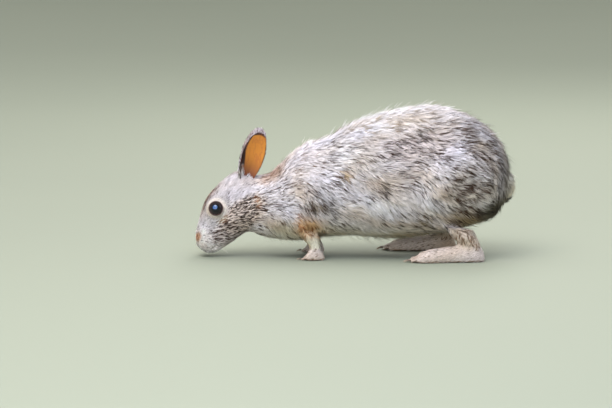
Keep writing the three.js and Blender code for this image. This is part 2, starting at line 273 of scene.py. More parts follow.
def relaxed(values, ends, rounds, share=0.5):
    """Values on the vertices, each drawn towards the mean of its neighbours."""
    values = values.copy()
    count = np.bincount(ends.ravel(), minlength=len(values)).astype(float)
    count = np.maximum(count, 1)
    wide = values.reshape(len(values), -1)
    for _ in range(rounds):
        total = np.empty_like(wide)
        for column in range(wide.shape[1]):
            total[:, column] = (
                np.bincount(ends[:, 0], wide[ends[:, 1], column], len(wide))
                + np.bincount(ends[:, 1], wide[ends[:, 0], column], len(wide)))
        wide += share * (total / count[:, None] - wide)
    return wide.reshape(values.shape)


@contextlib.contextmanager
def edited(mesh):
    """A mesh's faces for bmesh to edit, written back at the end."""
    work = bmesh.new()
    work.from_mesh(mesh)
    yield work
    work.to_mesh(mesh)
    work.free()


def evaluated(holder, name):
    """A new mesh, as an object's modifiers make it."""
    made = bpy.data.meshes.new_from_object(holder.evaluated_get(bpy.context.evaluated_depsgraph_get()))
    made.name = name
    return made


def dropped(holder):
    """Takes an object and its mesh out of the file."""
    mesh = holder.data
    bpy.data.objects.remove(holder)
    bpy.data.meshes.remove(mesh)


def finished_mesh(holder, name):
    """As evaluated(), for an object that isn't needed afterwards."""
    made = evaluated(holder, name)
    dropped(holder)
    return made


def without_bubbles(mesh):
    """The mesh with only its largest shell, as remeshing can leave tiny bubbles inside."""
    with edited(mesh) as work:
        unseen = set(work.verts)
        shells = []
        while unseen:
            shell, border = set(), {next(iter(unseen))}
            while border:
                shell |= border
                border = {edge.other_vert(vertex) for vertex in border for edge in vertex.link_edges} - shell
            unseen -= shell
            shells.append(shell)
        largest = max(shells, key=len)
        spare = [vertex for vertex in work.verts if vertex not in largest]
        bmesh.ops.delete(work, geom=spare, context="VERTS")
    return mesh


WELD = 1e-6  # corners closer than this become one


def melted(name, nodes, voxel):
    """Copies of CAD nodes joined and remeshed into one closed form."""
    mesh = bpy.data.meshes.new(name)
    with edited(mesh) as joined:
        for node in nodes:
            joined.from_mesh(frame["nodes"][node].data)
        bmesh.ops.remove_doubles(joined, verts=joined.verts, dist=WELD)
    holder = placed(name, mesh)
    remesh = holder.modifiers.new("melt", "REMESH")
    remesh.mode = "VOXEL"
    remesh.voxel_size = voxel
    return without_bubbles(finished_mesh(holder, name))


# %% Fields over the body
def fade(value, start, end):
    """0 before start, 1 after end, and a smooth step between."""
    share = np.clip((np.asarray(value, float) - start) / (end - start), 0, 1)
    return share * share * (3 - 2 * share)


def near(points, centre, radii, edge=0.5):
    """1 inside an ellipsoid, fading to 0 at its surface over the share edge of its radii."""
    away = np.linalg.norm((points / MM - centre) / radii, axis=1)
    return 1 - fade(away, 1 - edge, 1)


def both_sides(points):
    """The points with their y made positive, for marks that are alike on both sides."""
    return points * (1, 0, 1) + np.abs(points) * (0, 1, 0)


def by_nodes(points, nodes, reach):
    """1 where a point lies in the box of one of the nodes, fading out over reach mm."""
    share = np.zeros(len(points))
    for node in nodes:
        low, high = box(node)
        outside = np.maximum(np.maximum(low - points, points - high), 0) / MM
        share = np.maximum(share, 1 - fade(np.linalg.norm(outside, axis=1), 0, reach))
    return share


# %% The body form without its facets
SKIN_VOXEL = 1.3 * MM
FLESH = [n for n in frame["nodes"] if not n.startswith(("ear_", "eye_"))]
SHANKS = [n for n in FLESH if n.startswith("shank")]
LEGS = [n for n in FLESH if n.startswith(("forearm", "shank"))]
FEET = [n for n in FLESH if n.startswith(("forepaw", "hind_foot"))]
FORM_ROUNDS, KNEE_ROUNDS, HEEL_ROUNDS = 8, 60, 10  # of smoothing
form = melted("form", FLESH + ["eye_left", "eye_right"], SKIN_VOXEL)
ends = edge_ends(form)
points = relaxed(coordinates(form), ends, FORM_ROUNDS)
knees = by_nodes(points, SHANKS, 14) * fade(points[:, 2], 0.022, 0.032)
points += (relaxed(points, ends, KNEE_ROUNDS) - points) * knees[:, None]
heels = by_nodes(points, FEET, 4) * (1 - fade(points[:, 2], 0.016, 0.024))
points += (relaxed(points, ends, HEEL_ROUNDS) - points) * heels[:, None]
set_coordinates(form, points)
print("melted form:", len(form.polygons), "faces")


# %% [markdown]
# ## How deep the coat is
# Hair is longest on the back, rump and belly, shorter on the neck and cheeks, and only fluff on
# the face and feet. One field gives the coat's depth everywhere, and the skin is drawn in by it
# along its normals, in small steps with a little smoothing, so that it never folds.

# %% The coat's depth
HEAD_LOW, HEAD_HIGH = (corner / MM for corner in box("head"))
EYE = sum(box("eye_right")) / 2 / MM  # the middle of the eye on the side where y is positive
EYE_RADIUS = (box("eye_right")[1] - box("eye_right")[0])[2] / 2 / MM


def coat_depth(points):
    """How far the skin lies under the tips of the coat, in millimetres."""
    x, y, z = (points / MM).T
    depth = 2.6 + 0.8 * fade(x, -112, -60) + 0.6 * fade(x, -40, 60)
    depth -= 1.5 * near(points, (-150, 0, 38), (42, 40, 50), 0.8)
    depth -= 0.5 * near(points, (-163, 0, 14), (22, 26, 22), 0.8)
    legs = by_nodes(points, LEGS, 8) * (1 - fade(z, 38, 58))
    depth = depth * (1 - legs) + 1.9 * legs
    feet = by_nodes(points, FEET, 5) * (1 - fade(z, 14, 22))
    return depth * (1 - feet) + 1.2 * feet


# %% Draw the skin in under the coat
SINK_STEPS = 4
SOLE_DEPTH, FLOOR_GAP = 1.2 * MM, 0.3 * MM  # how far soles go down again, and what they keep clear
depth = relaxed(coat_depth(points), ends, 12)
for _ in range(SINK_STEPS):
    points = points - normals(form) * (depth * MM / SINK_STEPS)[:, None]
    points = relaxed(points, ends, 2)
    points += (relaxed(points, ends, 5) - points) * knees[:, None]
    set_coordinates(form, points)
low = by_nodes(points, FEET, 5) * (1 - fade(points[:, 2], 2 * MM, 6 * MM))
points[:, 2] = np.maximum(points[:, 2] - SOLE_DEPTH * low, FLOOR_GAP)
set_coordinates(form, points)
print("coat depth from %.1f to %.1f mm" % (depth.min(), depth.max()))


# %% Thin the trunk, which the coat hides
FACES_KEPT = 0.42  # the share of all the skin's faces that is left


def thinned(mesh, weights, ratio):
    """The mesh with fewer faces where the weights are 1, by the Decimate modifier."""
    holder = placed("thinning", mesh)
    group = holder.vertex_groups.new(name="thin")
    for level in (0.25, 0.5, 0.75, 1.0):
        members = np.flatnonzero(np.abs(weights - level) <= 0.125)
        group.add(members.tolist(), level, "REPLACE")
    decimate = holder.modifiers.new("thin", "DECIMATE")
    decimate.ratio = ratio
    decimate.vertex_group = "thin"
    return finished_mesh(holder, "skin")


trunk = fade(points[:, 0] / MM, -104, -90) * (1 - by_nodes(points, LEGS + FEET, 8))
skin_mesh = thinned(form, trunk, FACES_KEPT)
print("skin:", len(skin_mesh.polygons), "triangles")


# %% [markdown]
# ## Eyelids, nose and mouth
# The bare parts of the face are modelled, since no tuft can hide them: the rims of the lids lie
# on the eyeball, the nostrils are two slanted slits over a cleft lip, and the mouth is a crease
# under the muzzle. The faces there are first split finer. The skin round each eye is raised into
# a low mound, and then every point near the eye gets its distance from the eye's centre by its
# angle from the way the eye looks, which lays the lids on the ball and tucks them in under it.

# %% Split the faces of the muzzle and round the eyes
def refined(mesh, chosen):
    """Splits every triangle that has all its corners chosen into four."""
    with edited(mesh) as work:
        edges = [e for e in work.edges if chosen[e.verts[0].index] and chosen[e.verts[1].index]]
        bmesh.ops.subdivide_edges(work, edges=edges, cuts=1, use_grid_fill=True, smooth=0.0)
        bmesh.ops.triangulate(work, faces=[f for f in work.faces if len(f.verts) > 3])


def eye_distance(points):
    """Each point's distance in millimetres from the middle of the eye on its own side."""
    return np.linalg.norm(both_sides(points) / MM - EYE, axis=1)


for reach, snout_depth, snout_top in ((15, 16, 32), (12, 7, 27)):
    points = coordinates(skin_mesh)
    snout = (points[:, 0] < (HEAD_LOW[0] + snout_depth) * MM) & (points[:, 2] < snout_top * MM)
    refined(skin_mesh, (eye_distance(points) < reach) | snout)
ends = edge_ends(skin_mesh)
points = coordinates(skin_mesh)
face = 1 - fade(points[:, 0] / MM, -100, -92)
points += (relaxed(points, ends, 4) - points) * face[:, None]
print("skin with a fine face:", len(skin_mesh.polygons), "triangles")

# %% Lids round the eyes
GAZE = np.array((-0.10, 0.96, 0.22))  # which way the right eye looks
GAZE /= np.linalg.norm(GAZE)
MOUND_TOP, MOUND_FALL = 3.4, 6.5  # mm along the gaze: the mound at the eye, and how far it falls
LID_ANGLE = 56  # degrees from the gaze to the rim of the lids
LID_EDGE = (math.cos(math.radians(LID_ANGLE + 9)), math.cos(math.radians(LID_ANGLE + 4)))
LID_RISE, TUCK = 0.75, 0.86  # mm from the eyeball to the rim, and the tucked skin's share of its radius
LEAST_GAP = 0.35  # mm from the eyeball to the skin outside the rim


def unmirrored(spots, points):
    """Spots round the right eye in millimetres, put back on their points' own side in metres."""
    moved = spots + EYE
    moved[:, 1] *= np.where(points[:, 1] < 0, -1, 1)
    return moved * MM


def brows(points):
    """The points with the skin round each eye raised into a low mound that carries the lids."""
    mirrored = both_sides(points) / MM - EYE
    along = mirrored @ GAZE
    across = np.linalg.norm(mirrored - along[:, None] * GAZE, axis=1)
    wanted = MOUND_TOP - MOUND_FALL * fade(across, EYE_RADIUS - 2, EYE_RADIUS + 10)
    rise = np.logaddexp(0, 2 * (wanted - along)) / 2  # only upwards, with a soft start
    rise = rise * fade(along, -7, -3) * (1 - fade(across, EYE_RADIUS + 6, EYE_RADIUS + 11))
    return unmirrored(mirrored + rise[:, None] * GAZE, points)


def lids(points):
    """The points with the skin laid on the eyeballs as lids and tucked in under them."""
    mirrored = both_sides(points) / MM - EYE
    reach = np.linalg.norm(mirrored, axis=1)
    cosine = mirrored @ GAZE / np.maximum(reach, 1e-6)
    angle = np.degrees(np.arccos(np.clip(cosine, -1, 1)))
    angle = angle - 3 * fade(mirrored[:, 0], -2, 8)  # the opening is a little longer at the back
    tucked = EYE_RADIUS * TUCK
    rim = EYE_RADIUS + LID_RISE
    lid = tucked + (rim - tucked) * fade(angle, LID_ANGLE - 3, LID_ANGLE + 2)
    outside = np.maximum(reach, EYE_RADIUS + LEAST_GAP)
    wanted = lid + (outside - lid) * fade(angle, LID_ANGLE + 8, LID_ANGLE + 50)
    share = (1 - fade(angle, 108, 140)) * (1 - fade(reach, EYE_RADIUS + 4, EYE_RADIUS + 14))
    wanted = reach + (wanted - reach) * share
    return unmirrored(mirrored * (wanted / np.maximum(reach, 1e-6))[:, None], points)


points = lids(brows(points))
set_coordinates(skin_mesh, points)
print("lids laid on both eyeballs")


# %% Nostrils, cleft lip and mouth
def groove(points, mesh, path, width, depth):
    """Presses a soft crease into the mesh along a path of points in millimetres."""
    spots = both_sides(points) / MM
    away = np.full(len(points), 1e9)
    path = np.array(path, float)
    for start, end in zip(path, path[1:]):
        along = end - start
        share = np.clip((spots - start) @ along / (along @ along), 0, 1)
        away = np.minimum(away, np.linalg.norm(spots - start - share[:, None] * along, axis=1))
    press = depth * MM * np.exp(-(away / width) ** 2)
    return points - normals(mesh) * press[:, None]


SNOUT = HEAD_LOW[0]
NOSTRIL = [(SNOUT + 1.5, 1.5, 17.5), (SNOUT + 2.0, 3.2, 20.0), (SNOUT + 3.2, 5.4, 21.4)]
CLEFT = [(SNOUT + 1.0, 0, 17.5), (SNOUT + 2.5, 0, 12.5), (SNOUT + 6, 0, 8.5)]
MOUTH = [(SNOUT + 6, 0, 8.0), (SNOUT + 10, 5.5, 6.0), (SNOUT + 17, 9.0, 8.5), (SNOUT + 23, 10.5, 12.5)]
for path, width, depth in ((NOSTRIL, 0.9, 1.9), (CLEFT, 0.9, 1.4), (MOUTH, 1.1, 1.6)):
    points = groove(points, skin_mesh, path, width, depth)
    set_coordinates(skin_mesh, points)
print("nostrils, cleft and mouth pressed in")


# %% [markdown]
# ## Ears
# A rabbit's ear is a thin spoon of skin, bare inside and furred behind. The orange glow of light
# shining through it is painted into the colour of its bare inside. The CAD ears have the right
# cup and outline, so they are remeshed finely, smoothed and thinned to make room for the fur, and
# their feet are drawn down into the head, where the coat closes over them.

# %% Ears into the skin
EAR_VOXEL = 0.8 * MM
EAR_ROOT = box("ear_left")[0][2]
EAR_FUR = 0.25 * MM  # how far the skin lies under the CAD ear
EAR_SINK = np.array((-2.5, 0, -7)) * MM  # where an ear's foot goes, into the head


def ear_skin(word):
    """One ear as a smooth mesh that reaches down into the head."""
    mesh = melted("ear", ["ear_" + word], EAR_VOXEL)
    ends = edge_ends(mesh)
    points = relaxed(coordinates(mesh), ends, 3)
    set_coordinates(mesh, points)
    points = points - normals(mesh) * EAR_FUR
    down = 1 - fade(points[:, 2], EAR_ROOT + 1 * MM, EAR_ROOT + 12 * MM)
    middle = points[points[:, 2] < EAR_ROOT + 8 * MM].mean(axis=0)
    inward = (middle - points) * (1, 1, 0) * 0.25 + EAR_SINK
    points = relaxed(points + inward * down[:, None], ends, 2)
    set_coordinates(mesh, points)
    return mesh


body_points = len(skin_mesh.vertices)
with edited(skin_mesh) as joined:
    for word, _ in SIDES:
        joined.from_mesh(ear_skin(word))
    bmesh.ops.triangulate(joined, faces=[f for f in joined.faces if len(f.verts) > 3])
skin_mesh.shade_smooth()
is_ear = np.arange(len(skin_mesh.vertices)) >= body_points
print("skin with ears:", len(skin_mesh.polygons), "triangles")


# %% [markdown]
# ## How the coat lies and what it is marked with
# A groomer knows a coat by a few things that change over the body: which way the hair lies, how
# long it is, how far it stands off, and its colours. Each of these is worked out once for every
# point of the skin and stored there as an attribute, and the tufts that grow from that point and
# the skin's own material both read it, so skin and coat carry the same markings. Painting by hand
# would do too, but formulas can be run again on a changed body.

# %% Slow waves, for what varies without a rule
def waves(points, length, seed):
    """A smooth random value of about -1 to 1 that changes over a length in millimetres."""
    dice = np.random.default_rng(SEED * 100 + seed)
    total = np.zeros(len(points))
    for _ in range(9):
        way = dice.normal(size=3)
        way *= dice.uniform(0.7, 1.4) / np.linalg.norm(way)
        total += np.sin(points @ way * (2 * math.pi / (length * MM)) + dice.uniform(0, 2 * math.pi))
    return total / 3


def towards(start, end, share):
    """A mix of two directions or colours by a share for each point."""
    return start + (end - start) * share[:, None]


# %% The places of things, in millimetres
points = coordinates(skin_mesh)
ends = edge_ends(skin_mesh)
outward = normals(skin_mesh)
x, y, z = (points / MM).T
side = np.sign(y)
limb = by_nodes(points, LEGS, 6) * (1 - fade(z, 32, 52)) * ~is_ear
foot = by_nodes(points, FEET, 4) * (1 - fade(z, 11, 19)) * ~is_ear
belly = (1 - fade(z, 26, 52)) * fade(x, -100, -60) * (1 - fade(x, 110, 150)) * (1 - limb) * ~is_ear
on_head = (1 - fade(x, -112, -92)) * ~is_ear
TAIL_MIDDLE = sum(box("tail")) / 2 / MM
on_tail = near(points, TAIL_MIDDLE + (4, 0, 2), (19, 20, 28), 0.3)
away_from_eye = eye_distance(points)
on_haunch = near(both_sides(points), (124, 50, 88), (54, 50, 52), 0.5) * ~is_ear
thigh_edge = near(both_sides(points), (112, 50, 50), (34, 34, 19), 0.8)
thigh_edge = thigh_edge * fade(outward[:, 1] * side, 0.3, 0.7)


# %% Along and across an ear
EAR_FOOT, EAR_TIP = np.array((-114.5, 10.5, 76)), np.array((-97.8, 20, 133))  # of the right ear
EAR_LOOK = np.array((0.24, 0.97, 0))  # which way its hollow faces
EAR_HALF = [(0, 7), (0.2, 9.4), (0.42, 12.2), (0.63, 12.6), (0.81, 10.6), (0.93, 7.6), (1, 3.2)]
mirror = np.stack([np.ones(len(points)), side, np.ones(len(points))], axis=1)
ear_axis = EAR_TIP - EAR_FOOT
from_foot = both_sides(points) / MM - EAR_FOOT
up_ear = from_foot @ ear_axis / (ear_axis @ ear_axis)  # 0 at the foot and 1 at the tip
ear_front = np.cross(ear_axis, EAR_LOOK)
across_ear = from_foot @ ear_front / np.linalg.norm(ear_front)
across_ear = across_ear / np.interp(up_ear, *zip(*EAR_HALF))  # 1 at the front rim, -1 at the rear one
in_ear = fade((outward * mirror) @ EAR_LOOK, 0.0, 0.3) * is_ear


# %% Which way the hair lies
def hair_lie():
    """Backwards on the head and back, down the flanks, rump and legs, and to the tips of the ears."""
    from_nose = points / MM - (HEAD_LOW[0] - 4, 0, 14)
    from_nose /= np.linalg.norm(from_nose, axis=1)[:, None]
    steep = 0.28 + fade(z, 140, 40) * 0.35
    lie = np.stack([np.ones(len(points)), 0 * x, -steep], axis=1)
    neck = np.stack([np.ones(len(points)), 0 * x, 0.25 - 0.5 * fade(z, 80, 40)], axis=1)
    lie = towards(neck, lie, fade(x, -80, -45))
    shoulder = near(points, (-38, 0, 62), (34, 90, 44), 0.9)
    behind = fade(x, 100, 150) * fade(outward[:, 0], 0.5, 0.95)
    low = fade(z, 92, 72)
    hanging = np.stack([1 - 0.9 * low, 0 * x, -0.4 - 0.6 * low], axis=1)
    for way, amount in (((0.62, 0, -0.85), shoulder * 0.8), ((0.25, 0, -1.0), behind),
                        ((0.9, 0, -0.25), belly * 0.8), ((0.5, 0, -1.0), thigh_edge),
                        (from_nose + (0, 0, -0.15), on_head), ((0.12, 0, -1.0), limb),
                        ((-1.0, 0, -0.25), foot), (hanging, on_tail)):
        lie = towards(lie, way, amount)
    spread = 0.45 * np.clip(across_ear, -1, 1) * (1 - 0.6 * fade(up_ear, 0.4, 0.8))
    fanned = ear_axis / np.linalg.norm(ear_axis) + spread[:, None] * ear_front / np.linalg.norm(ear_front)
    lie = np.where(is_ear[:, None], fanned * mirror, lie)
    swirl = np.radians(13) * waves(points, 62, 1) + np.radians(10) * waves(points, 21, 2)
    swirl *= (1 - on_head) * (1 - limb) * (1 - foot) * ~is_ear
    lie -= outward * np.sum(lie * outward, axis=1)[:, None]
    lie /= np.maximum(np.linalg.norm(lie, axis=1), 1e-6)[:, None]
    return lie * np.cos(swirl)[:, None] + np.cross(outward, lie) * np.sin(swirl)[:, None]


lie = hair_lie()
print("hair lies along unit vectors on", len(lie), "points")


# %% How long, dense and raised it is
def hair_length():
    """The length of a tuft in millimetres."""
    length = 10.5 + 3.5 * fade(x, -80, -20) + 1.5 * fade(x, 20, 100)
    length = length + 2.5 * belly + 3 * thigh_edge - 4 * on_haunch * (1 - thigh_edge)
    length = length * (1 - on_head) + 6.3 * on_head
    length -= 2.6 * near(points, (-146, 0, 52), (36, 34, 34), 0.8) * on_head
    length -= 2.6 * near(points, (-164, 0, 14), (26, 30, 34), 0.7) * on_head
    length += 4.7 * near(points, (-122, 0, 80), (17, 26, 15), 0.8) * ~is_ear
    length -= 3.5 * near(both_sides(points), (140, 25, 44), (34, 40, 16), 0.8)
    length = length * (1 - limb) + (4.6 + 2.8 * fade(z, 16, 44)) * limb
    length = length * (1 - foot) + 4.4 * foot
    length = length * (1 - on_tail) + (10 - 5 * fade(z, 78, 60)) * on_tail
    front_rim = fade(across_ear, 0.3, 0.8) * (1 - fade(up_ear, 0.45, 0.85))
    tuft = front_rim * (1 - fade(up_ear, 0.1, 0.35))
    on_ear = 2.3 + 2.8 * (1 - fade(up_ear, 0.08, 0.4)) + 1.0 * front_rim + 2.2 * tuft
    length = np.where(is_ear, on_ear, length)
    near_eye = 1 - fade(away_from_eye, 10, 17)
    return length * (1 - 0.45 * near_eye * ~is_ear)


length = hair_length()
gaze_angle = (both_sides(points) / MM - EYE) @ GAZE / np.maximum(away_from_eye, 1e-6)
bare = (away_from_eye < EYE_RADIUS + 3) & (gaze_angle > LID_EDGE[0])
nose_tip = near(points, (HEAD_LOW[0] + 1, 0, 19.5), (5, 5.5, 5), 0.35)
print("tufts from %.1f to %.1f mm long" % (length.min(), length.max()))


# %% [markdown]
# ## Markings
# The coat is moulting from winter white: pale locks over a grey and brown undercoat, with brown
# and black ticked hairs on the cheek, the shoulder's folds, the lower flank and the haunch, rust
# on the elbow and nape, and buff feet. A few patches are painted shade: the crease behind the
# shoulder, the fold between flank and thigh, and in part the low rump and haunch. Three values
# carry it: the colour of the pale locks, the colour of the ticked locks, and the share of locks
# that are ticked. They are laid down as a list of soft patches, one over the other, in the way a
# taxidermist would airbrush them.

# %% Colours
def paint(red, green, blue):
    """A colour by its screen values from 0 to 255, as the linear light that shaders take."""
    value = np.array((red, green, blue)) / 255
    return np.where(value <= 0.04045, value / 12.92, ((value + 0.055) / 1.055) ** 2.4)


WHITE, SNOW, CREAM = paint(234, 226, 229), paint(246, 241, 245), paint(226, 218, 202)
SILVER, SMOKE, GREY = paint(208, 202, 206), paint(150, 142, 146), paint(122, 112, 112)
BUFF, RUST, TAN = paint(206, 180, 146), paint(176, 112, 66), paint(150, 116, 90)
UMBER, SOOT = paint(86, 63, 51), paint(50, 42, 39)

# %% The patches, each with its place and half axes (x, y, z), lean, edge, colours and share
FAR = 300  # a half axis so long that the patch runs round the body
BODY_PATCHES = [
    ("back", (25, 0, 152), (95, FAR, 34), 0, 0.7, SNOW, BUFF, 0.12),
    ("withers", (-52, 0, 116), (36, FAR, 24), -30, 0.8, paint(244, 234, 236), TAN, 0.12),
    ("saddle side", (66, 0, 118), (60, FAR, 25), 10, 0.8, paint(226, 211, 209), paint(74, 56, 48), 0.43),
    ("back spots", (70, 44, 132), (8, 34, 5), 0, 0.9, SILVER, SOOT, 0.7),
    ("ribs", (-2, 0, 108), (40, FAR, 20), -15, 0.8, SNOW, UMBER, 0.28),
    ("lower flank", (34, 0, 76), (36, FAR, 10), 12, 0.8, WHITE, UMBER, 0.50),
    ("under flank", (30, 0, 58), (60, FAR, 14), 5, 0.8, SNOW, GREY, 0.10),
    ("shoulder", (-48, 0, 92), (26, FAR, 22), -20, 0.8, WHITE, TAN, 0.16),
    ("shoulder fold", (-30, 0, 66), (11, FAR, 24), 30, 0.9, SILVER, SOOT, 0.62),
    # painted shade: the crease where the shoulder's fur overlaps the chest, with a darker line in it
    ("shoulder crease shade", (-38, 0, 56), (22, FAR, 8), 15, 0.9, paint(170, 156, 142), UMBER, 0.75),
    ("crease shade line", (-40, 0, 57), (21, FAR, 4.5), 13, 0.9, paint(132, 116, 100), SOOT, 0.75),
    ("tan spot", (-7, 0, 89), (11, FAR, 8), 0, 0.8, BUFF, TAN, 0.6),
    ("haunch", (118, 0, 80), (44, FAR, 36), 10, 0.8, paint(212, 203, 197), UMBER, 0.52),
    ("haunch front", (80, 0, 62), (10, FAR, 40), -12, 0.9, SNOW, GREY, 0.08),
    ("rump", (135, 0, 124), (40, FAR, 30), -35, 0.8, paint(208, 202, 205), UMBER, 0.42),
    # partly painted shade: the seat's grey and the thigh foot's buff are their own colours darkened for shade
    # low on the rump and haunch, and the patch below them is painted shade with a green cast of bounced light
    ("seat", (163, 0, 92), (26, FAR, 54), -8, 0.9, paint(158, 150, 142), paint(62, 50, 43), 0.57),
    ("thigh foot", (118, 0, 44), (36, FAR, 19), 0, 0.8, paint(178, 156, 120), UMBER, 0.60),
    ("low seat shade", (147, 0, 53), (30, FAR, 18), 10, 0.7, paint(100, 96, 78), SOOT, 0.6),
    # painted shade in the gap between the belly and the front of the thigh
    ("flank fold shade", (73, 0, 42), (7, FAR, 15), -25, 0.9, paint(150, 132, 108), UMBER, 0.60),
    ("neck", (-82, 0, 62), (24, FAR, 34), 0, 0.8, WHITE, UMBER, 0.40),
    ("nape", (-90, 0, 92), (28, FAR, 18), 35, 0.7, paint(194, 160, 142), TAN, 0.24),
    ("chest", (-72, 0, 28), (32, FAR, 16), 0, 0.8, CREAM, TAN, 0.20),
]
HEAD_PATCHES = [
    ("top of the head", (-122, 0, 74), (28, FAR, 24), 0, 0.6, paint(213, 204, 207), GREY, 0.02),
    ("jaw", (-130, 0, 29), (33, FAR, 14), 32, 0.5, paint(208, 196, 194), UMBER, 0.46),
    ("cheek", (-115, 0, 47), (35, FAR, 18), 38, 0.35, paint(228, 211, 203), paint(74, 58, 50), 0.54),
    ("rust flecks", (-100, 0, 62), (5, FAR, 12), 10, 0.9, paint(206, 186, 170), RUST, 0.45),
    ("under the eye", (-137, 0, 42), (10, FAR, 6), 30, 0.9, CREAM, RUST, 0.4),
    ("behind the eye", (-131, 0, 65), (5, FAR, 3.6), 30, 0.9, paint(196, 188, 194), SMOKE, 0.5),
    ("bridge", (-156, 0, 60), (14, 17, 34), -35, 0.85, paint(186, 156, 144), paint(100, 74, 64), 0.66),
    ("muzzle", (-162, 0, 18), (17, FAR, 19), 0, 0.5, paint(252, 245, 244), GREY, 0.08),
    ("nose", (-164, 7, 22), (7.5, 8, 7.2), 0, 0.6, paint(218, 168, 136), TAN, 0.45),
    ("chin", (-148, 0, 8), (18, FAR, 10), 15, 0.8, SNOW, GREY, 0.05),
]


def leaning(points, centre, axes, lean, edge):
    """As near(), for an ellipsoid whose long axis leans up towards the tail by some degrees."""
    turn = math.radians(lean)
    spots = both_sides(points) / MM - centre
    along = spots[:, 0] * math.cos(turn) + spots[:, 2] * math.sin(turn)
    across = spots[:, 2] * math.cos(turn) - spots[:, 0] * math.sin(turn)
    away = np.linalg.norm(np.stack([along, spots[:, 1], across], axis=1) / axes, axis=1)
    return 1 - fade(away, 1 - edge, 1)


# %% Lay the patches down
shown = points + lie * (0.6 * MM * length)[:, None]  # a lock shows its colour where its middle lies
pale = np.tile(WHITE, (len(points), 1))
ticked = np.tile(UMBER, (len(points), 1))
share = np.full(len(points), 0.24)


def lay(amount, pale_colour, ticked_colour, ticked_share):
    """Paints a patch over what is there, by an amount for each point."""
    global pale, ticked, share
    pale = towards(pale, pale_colour, amount)
    ticked = towards(ticked, ticked_colour, amount)
    share = share + (ticked_share - share) * amount


lay(on_head, paint(224, 217, 220), GREY, 0.10)
before_neck = (1 - fade(x, -96, -84)) * ~is_ear
for patches, where in ((BODY_PATCHES, 1 - on_head), (HEAD_PATCHES, before_neck)):
    for _, centre, axes, lean, edge, pale_colour, ticked_colour, ticked_share in patches:
        lay(leaning(shown, centre, axes, lean, edge) * where, pale_colour, ticked_colour, ticked_share)
lay(belly * 0.9, paint(220, 212, 190), paint(150, 140, 116), 0.15)
lay(limb * (1 - 0.8 * fade(z, 20, 44)), paint(226, 208, 190), TAN, 0.30)
lay(limb * (1 - fade(x, -20, 20)), paint(254, 238, 214), paint(212, 180, 144), 0.2)
lay(leaning(points, (-51, 0, 39), (21, FAR, 19), 0, 0.8) * (1 - on_head), paint(216, 174, 128), RUST, 0.42)
lay(foot, paint(240, 226, 220), TAN, 0.08)
lay(on_tail, paint(186, 178, 168), UMBER, 0.5 * fade(z, 70, 88) + 0.12)
lay(on_tail * fade(outward[:, 0], 0.5, 0.9) * (1 - fade(z, 84, 94)), paint(246, 242, 234), CREAM, 0.08)
lay((1 - fade(away_from_eye, 9.8, 12.4)) * on_head, paint(240, 230, 224), CREAM, 0.05)
lay(is_ear * 1.0, paint(200, 188, 194), paint(118, 98, 102), 0.45)
lay(is_ear * (1 - fade(up_ear, 0.1, 0.35)), paint(226, 220, 224), GREY, 0.3)
ragged = 0.07 * waves(points, 5, 9)
dark_rim = in_ear * fade(across_ear - 0.3 * fade(up_ear, 0.35, 0.75), 0.5, 0.62)
dark_rim = dark_rim * fade(up_ear + ragged, 0.27, 0.35)
dark_rim = np.maximum(dark_rim, in_ear * fade(up_ear + 0.05 * across_ear ** 2, 0.94, 0.97))
lay(dark_rim, SOOT, paint(34, 28, 28), 0.6)

# %% Streaks that break the patches up
stretched = points * np.stack([0.42 + 0 * x, 0 * x + 1, 1 - 0.25 * fade(x, 80, 130)], axis=1)
streak = 0.8 * waves(stretched, 13, 5) + 0.6 * waves(stretched, 6.5, 6)
streak = 0.32 * streak * (0.35 + share) * (1 - 0.75 * on_head) * (1 + 0.5 * on_haunch)
share = np.clip(share + streak, 0, 1)
mottle = waves(stretched, 24, 8)[:, None]
tint = 1 + np.where(mottle > 0, mottle * (0.03, 0.05, 0.10), mottle * (0.10, 0.15, 0.22))
clumps = 1 + (0.22 * on_haunch * waves(stretched, 12, 10) + 0.09 * on_head * waves(points, 8, 12))[:, None]
pale = np.clip(pale * tint * clumps, 0, 0.95)
print("mean share of ticked locks: %.2f" % share.mean())


# %% Keep it all on the skin
def keep(mesh, name, kind, values):
    """Stores one value for each vertex as an attribute of the mesh."""
    attribute = mesh.attributes.new(name, kind, "POINT")
    field = "value" if kind == "FLOAT" else "vector" if kind == "FLOAT_VECTOR" else "color"
    if field == "color":
        values = np.concatenate([values, np.ones((len(values), 1))], axis=1)
    attribute.data.foreach_set(field, np.asarray(values, np.float32).ravel())


ear_hair = np.maximum(fade(across_ear, 0.68, 0.84) * (1 - fade(up_ear, 0.5, 0.8)),
                      1 - fade(up_ear + ragged - 0.16 * fade(across_ear, 0.2, 0.8), 0.07, 0.15))
density = np.where(bare, 0.0, 1.0) * (1 - nose_tip) * (1 - in_ear * (1 - ear_hair))
density = density * (1 - 0.7 * (foot * (1 - fade(z, 1.0, 3.0))))  # thin under the feet
for name, kind, values in (("lie", "FLOAT_VECTOR", lie), ("hair", "FLOAT", length * MM),
                           ("density", "FLOAT", density), ("pale", "FLOAT_COLOR", pale),
                           ("ticked", "FLOAT_COLOR", ticked), ("share", "FLOAT", share)):
    keep(skin_mesh, name, kind, values)

# %% The colour of the skin itself
under = pale * (0.84, 0.82, 0.81)
hide = towards(under, ticked, 0.45 * fade(share, 0.3, 0.9))
